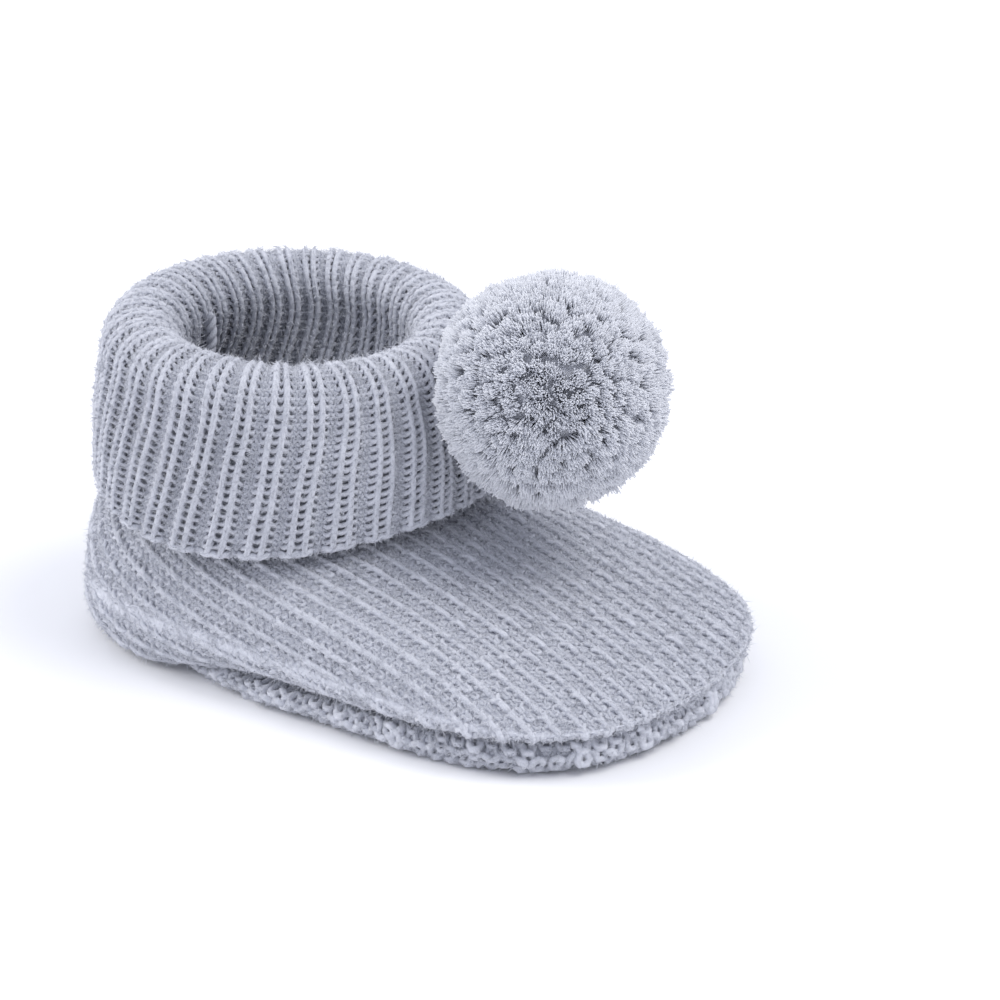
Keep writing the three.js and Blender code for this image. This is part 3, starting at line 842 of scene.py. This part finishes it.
def pileFibres(look):
    make = np.random.default_rng(11)
    n, f = look["tufts"], look["fibres"]
    k = np.arange(n) + 0.5
    z = 1 - 2 * k / n
    turn = k * np.pi * (1 + 5 ** 0.5)
    axis = np.stack([np.sqrt(1 - z * z) * np.cos(turn), np.sqrt(1 - z * z) * np.sin(turn), z], -1)
    axis = unit(axis + make.normal(size=axis.shape) * look["axisWobble"])
    lean = unit(axis + make.normal(size=axis.shape) * look["leanWobble"])
    swell = np.sin(axis @ lobeWaves[0] + 1) + np.sin(axis @ lobeWaves[1])
    reach = look["tip"] + make.normal(size=n) * look["uneven"] + swell * look["lobes"] / 2
    sideA, sideB = sidesOf(axis)
    angle = make.uniform(0, 2 * np.pi, (n, f))
    away = np.sqrt(make.uniform(0, 1, (n, f))) * look["spread"]
    offset = (sideA[:, None] * np.cos(angle)[..., None]
              + sideB[:, None] * np.sin(angle)[..., None]) * away[..., None]
    end = reach[:, None] + make.normal(size=(n, f)) * look["lengthWobble"]
    end = end - (away / look["spread"]) ** 2 * look["dome"]
    root = axis[:, None] * look["root"] + offset * 0.5
    tip = axis[:, None] * look["root"] + lean[:, None] * (end - look["root"])[..., None] + offset
    tip = tip + make.normal(size=root.shape) * look["tipWobble"]
    # keep clear of the cuff behind the ball, however far the ball swings
    arm = np.array(pompomBall["stitch"]) - np.array(pompomBall["centre"])
    wall = np.array(look["wallFace"])
    for sway in np.radians(look["sways"]):
        for nod in np.radians(look["nods"]):
            x, y, z = wall
            x, y = x * np.cos(sway) + y * np.sin(sway), y * np.cos(sway) - x * np.sin(sway)
            x, z = x * np.cos(nod) - z * np.sin(nod), z * np.cos(nod) + x * np.sin(nod)
            face = np.array([x, y, z])
            room = look["wall"] + (face - wall) @ arm
            tip = tip - np.maximum(tip @ face - room, 0)[..., None] * face
    line = np.stack([root, tip], 2).reshape(-1, 2, 3) + np.array(pompomBall["centre"])
    tone = np.repeat(make.normal(size=n) * look["tuftTone"], f)
    tone = tone + make.normal(size=n * f) * look["fibreTone"]
    return line, tone


# Straight three-sided fibres, each a point at the root and widest at its cut end.
def cutFibres(line, radius, tone, rootPaintedShade):
    n = len(line)
    sideA, sideB = sidesOf(unit(line[:, 1] - line[:, 0]))
    points = np.concatenate([line[:, :1], line[:, 1:] + ringOf(sideA, sideB, 3) * radius], 1)
    faces = np.array([[0, 2, 1], [0, 3, 2], [0, 1, 3], [1, 2, 3]])[None]
    faces = faces + (np.arange(n) * 4)[:, None, None]
    # painted shade at each fibre's root, where the pile around it shades it
    shade = tone[:, None] + np.array([rootPaintedShade, 0.0, 0.0, 0.0])
    return points.reshape(-1, 3), [faces.reshape(-1, 3)], shade


# Bent three-sided fibres through rows of three points, closed in a point.
def thinSpikes(line, radius, tone):
    n = len(line)
    sideA, sideB = sidesOf(unit(np.gradient(line, axis=1))[:, :2])
    rings = line[:, :2, None] + ringOf(sideA, -sideB, 3) * radius[:, :, None, None]
    points = np.concatenate([rings.reshape(n, 6, 3), line[:, 2:3]], 1)
    base = (np.arange(n) * 7)[:, None, None]
    quads = np.array([[0, 3, 4, 1], [1, 4, 5, 2], [2, 5, 3, 0]])[None] + base
    tips = np.array([[3, 6, 4], [4, 6, 5], [5, 6, 3], [0, 1, 2]])[None] + base
    return points.reshape(-1, 3), [quads.reshape(-1, 4), tips.reshape(-1, 3)], np.repeat(tone, 7)


line, tone = pileFibres(pile)
print("fibres", len(line))
pilePieces = []
for k in range(pile["parts"]):
    cut = slice(k, None, pile["parts"])
    points, groups, shade = cutFibres(line[cut], pile["radius"], tone[cut], pile["rootPaintedShade"])
    pilePieces.append(makePiece(f"pompom_pile_{k + 1}", points, groups, pileMaterial, shade))


core = dict(radius=14.9, rows=30, columns=60, bumps=0.25, bumpTurns=9, bumpFalls=11)


def coreBall(look):
    rows, columns = look["rows"], look["columns"]
    a = np.linspace(0, np.pi, rows + 2)[1:-1][:, None]
    b = (np.arange(columns) * 2 * np.pi / columns)[None]
    waves = np.sin(look["bumpTurns"] * b) * np.sin(look["bumpFalls"] * a) * np.sin(a)
    out = look["radius"] + look["bumps"] * waves
    ball = stack(out * np.sin(a) * np.cos(b), out * np.sin(a) * np.sin(b), out * np.cos(a))
    return closedGrid(ball + np.array(pompomBall["centre"]), hasPoles=True)


points, groups = coreBall(core)
pompomCore = makePiece("pompom_core", points, groups, pileCoreShadedMaterial)
print("pompom done")

# Loose fibres

# Random places on the yarn, with their outward directions, away from the pompom.
def clearPlaces(make, sources, count):
    centres = np.concatenate([c.reshape(-1, 3) for _, c, _ in sources])
    outs = np.concatenate([n.reshape(-1, 3) for _, _, n in sources])
    isClear = np.linalg.norm(centres - pompomBall["centre"], axis=1) > pompomBall["clear"]
    pick = make.integers(0, isClear.sum(), count)
    return centres[isClear][pick], outs[isClear][pick]


fuzz = dict(width=0.04, shortest=0.5, longest=1.6, rootOut=0.25, liftLow=0.1, liftHigh=0.75,
            lean=0.6, half=0.55, bend=0.45, tipLean=0.8, tipLift=0.6, tipHalf=0.5, lowest=0.05,
            shade=0.1)


def looseFibres(name, sources, count, seed):
    make = np.random.default_rng(seed)
    c, n = clearPlaces(make, sources, count)
    flat = make.normal(size=c.shape)
    flat = unit(flat - n * (flat * n).sum(-1, keepdims=True))
    size = make.uniform(fuzz["shortest"], fuzz["longest"], count)[:, None]
    root = c + n * fuzz["rootOut"]
    lift = make.uniform(fuzz["liftLow"], fuzz["liftHigh"], count)[:, None]
    middle = root + (flat * fuzz["lean"] + n * lift) * size * fuzz["half"]
    bend = unit(flat + make.normal(size=c.shape) * fuzz["bend"])
    tip = middle + (bend * fuzz["tipLean"] + n * (lift * fuzz["tipLift"])) * size * fuzz["tipHalf"]
    line = np.stack([root, middle, tip], 1)
    line[..., 2] = np.maximum(line[..., 2], fuzz["lowest"])
    width = np.full((count, 2), fuzz["width"])
    points, groups, shade = thinSpikes(line, width, make.normal(size=count) * fuzz["shade"])
    return makePiece(name, points, groups, fuzzMaterial, shade)


hair = dict(width=0.06, rise=0.35, flatten=0.7, shortest=0.5, longest=1.5, rootOut=0.3,
            rootAlong=0.1, bend=0.12, lowest=0.05, shade=0.1)


# Short straight hairs, three thin sides that meet in a point.
def shortHairs(name, sources, count, seed):
    make = np.random.default_rng(seed)
    c, n = clearPlaces(make, sources, count)
    away = make.normal(size=c.shape)
    outward = (away * n).sum(-1, keepdims=True) * hair["flatten"]
    away = unit(away + n * (hair["rise"] - outward))
    size = make.uniform(hair["shortest"], hair["longest"], count)[:, None]
    root = c + n * hair["rootOut"] + away * hair["rootAlong"]
    tip = root + away * size + make.normal(size=c.shape) * hair["bend"]
    tip[:, 2] = np.maximum(tip[:, 2], hair["lowest"])
    along = unit(tip - root)
    sideA = unit(np.cross(along, make.normal(size=c.shape)))
    ring = ringOf(sideA, np.cross(along, sideA), 3) * hair["width"]
    points = np.concatenate([root[:, None] + ring, tip[:, None]], 1)
    faces = np.array([[0, 1, 3], [1, 2, 3], [2, 0, 3], [0, 2, 1]])[None]
    faces = faces + (np.arange(count) * 4)[:, None, None]
    shade = np.repeat(make.normal(size=count) * hair["shade"], 4)
    return makePiece(name, points.reshape(-1, 3), [faces.reshape(-1, 3)], fuzzMaterial, shade)


fuzzCuff = looseFibres("fuzz_cuff", ribPieces, 5000, 21)
fuzzFoot = looseFibres("fuzz_foot", footPieces, 5000, 22)
fuzzSole = looseFibres("fuzz_sole", solePieces[:1], 1500, 23)
hairCuff = shortHairs("hair_cuff", ribPieces, 49900, 24)
hairFoot = shortHairs("hair_foot", footPieces, 49900, 25)
hairSole = shortHairs("hair_sole", solePieces[:1], 18000, 26)
print("fuzz done")

# Back seams

backSeam = dict(depth=3.82, topDepth=2.3, strand=0.5, sides=8, swing=0.42, pitch=3.2,
                samples=64, lowU=0.04, highU=0.68, lowH=0.06, highH=0.99, easeFrom=0.6,
                easeOver=0.4, tone=-0.35)


# Two strands twisted round a line of points.
def twistedStrands(line, look):
    tangent = unit(np.gradient(line, axis=0))
    sideA = unit(np.cross(tangent, [0, 1.0, 0]))
    sideB = np.cross(tangent, sideA)
    far = np.concatenate([[0], np.cumsum(np.linalg.norm(np.diff(line, axis=0), axis=1))])
    angle = 2 * np.pi * far / look["pitch"] + np.array([[0], [np.pi]])
    offset = sideA * np.cos(angle)[..., None] + sideB * np.sin(angle)[..., None]
    centres = line + offset * look["swing"]
    return tubes(centres, sideA + 0 * centres, look["strand"], look["sides"])


# The inner face of the foot, at a depth below its skin.
def upperInside(t, u, depth):
    return upperPoint(t, u) - upperNormal(t, np.maximum(u, foot["normalU"])) * depth


heights = np.linspace(backSeam["lowH"], backSeam["highH"], backSeam["samples"])
ease = smoothStep((heights - backSeam["easeFrom"]) / backSeam["easeOver"])
depths = mix(backSeam["depth"], backSeam["topDepth"], ease)
points, groups = twistedStrands(legPoint(np.pi + 0 * heights, depths, heights), backSeam)
cuffRidge = makePiece("cuff_ridge", points, groups, yarn, np.full(len(points), backSeam["tone"]))
reaches = np.linspace(backSeam["lowU"], backSeam["highU"], backSeam["samples"])
heelLine = upperInside(np.pi + 0 * reaches, reaches, backSeam["depth"])
points, groups = twistedStrands(heelLine, backSeam)
heelRidge = makePiece("heel_ridge", points, groups, yarn, np.full(len(points), backSeam["tone"]))

# Seam colour, bodies and hidden parts

seams = ["sole_seam", "ankle_seam", "heel_seam", "cuff_seam", "anchor_knot", "anchor_loop",
         "pompom_tie"]
for name in seams:
    for slot in nodes[name].material_slots:
        slot.material = seamMaterial

onBootie = {"rib_knit": [p for p, _, _ in ribPieces] + [cuffCloth, fuzzCuff, hairCuff],
            "foot_knit": [p for p, _, _ in footPieces] + [footCloth, fuzzFoot, hairFoot],
            "garter_knit": [p for p, _, _ in solePieces] + [soleCloth, fuzzSole, hairSole]}
for slotName, pieces in onBootie.items():
    for piece in pieces:
        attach(piece, "bootie")
for piece in pilePieces + [pompomCore]:
    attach(piece, "pompom")
for piece, slotName, seam in ((cuffRidge, "rib_knit", "cuff_seam"),
                              (heelRidge, "foot_knit", "heel_seam")):
    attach(piece, "bootie")
    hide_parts(seam)
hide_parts("rib_cuff")
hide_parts("foot_upper")
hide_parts("sole")
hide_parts("pompom_pile")
[p for p, _, _ in ribPieces] + [fuzzCuff, hairCuff]
[p for p, _, _ in footPieces] + [fuzzFoot, hairFoot]
[p for p, _, _ in solePieces] + [fuzzSole, hairSole]

# Stage

stageLook = dict(world=(0.86, 0.89, 1.0), worldStrength=0.92, floor=(0.9, 0.9, 0.91),
                 key=5.8, keyPlace=(0.62, 0.12, 0.95), side=6.6, sidePlace=(-0.95, -0.4, 0.6),
                 lampSize=0.7, lampColour=(1, 0.985, 0.95), lampAim=(0, 0, 0.02), floorHalf=3.0)


def makeStage(look):
    world = bpy.data.worlds.new("studio")
    bpy.context.scene.world = world
    world.use_nodes = True
    background = world.node_tree.nodes["Background"]
    background.inputs["Color"].default_value = (*look["world"], 1)
    background.inputs["Strength"].default_value = look["worldStrength"]
    mesh = bpy.data.meshes.new("floor")
    s = look["floorHalf"]
    mesh.from_pydata([(-s, -s, 0), (s, -s, 0), (s, s, 0), (-s, s, 0)], [], [(0, 1, 2, 3)])
    floor = bpy.data.objects.new("floor", mesh)
    bpy.context.scene.collection.objects.link(floor)
    material = bpy.data.materials.new("floor")
    material.use_nodes = True
    shader = material.node_tree.nodes["Principled BSDF"]
    shader.inputs["Base Color"].default_value = (*look["floor"], 1)
    shader.inputs["Roughness"].default_value = 0.9
    shader.inputs["Specular IOR Level"].default_value = 0.0
    mesh.materials.append(material)
    for name, place, power in (
            ("key", look["keyPlace"], look["key"]), ("side", look["sidePlace"], look["side"])):
        data = bpy.data.lights.new(name, "AREA")
        data.shape = "DISK"
        data.size = look["lampSize"]
        data.energy = power
        data.color = look["lampColour"]
        lamp = bpy.data.objects.new(name, data)
        lamp.location = place
        lamp.rotation_mode = "QUATERNION"
        aim = Vector(look["lampAim"]) - Vector(place)
        lamp.rotation_quaternion = aim.to_track_quat("-Z", "Y")
        bpy.context.scene.collection.objects.link(lamp)
    view = bpy.context.scene.view_settings
    view.view_transform = "Standard"


makeStage(stageLook)
print("stage done")
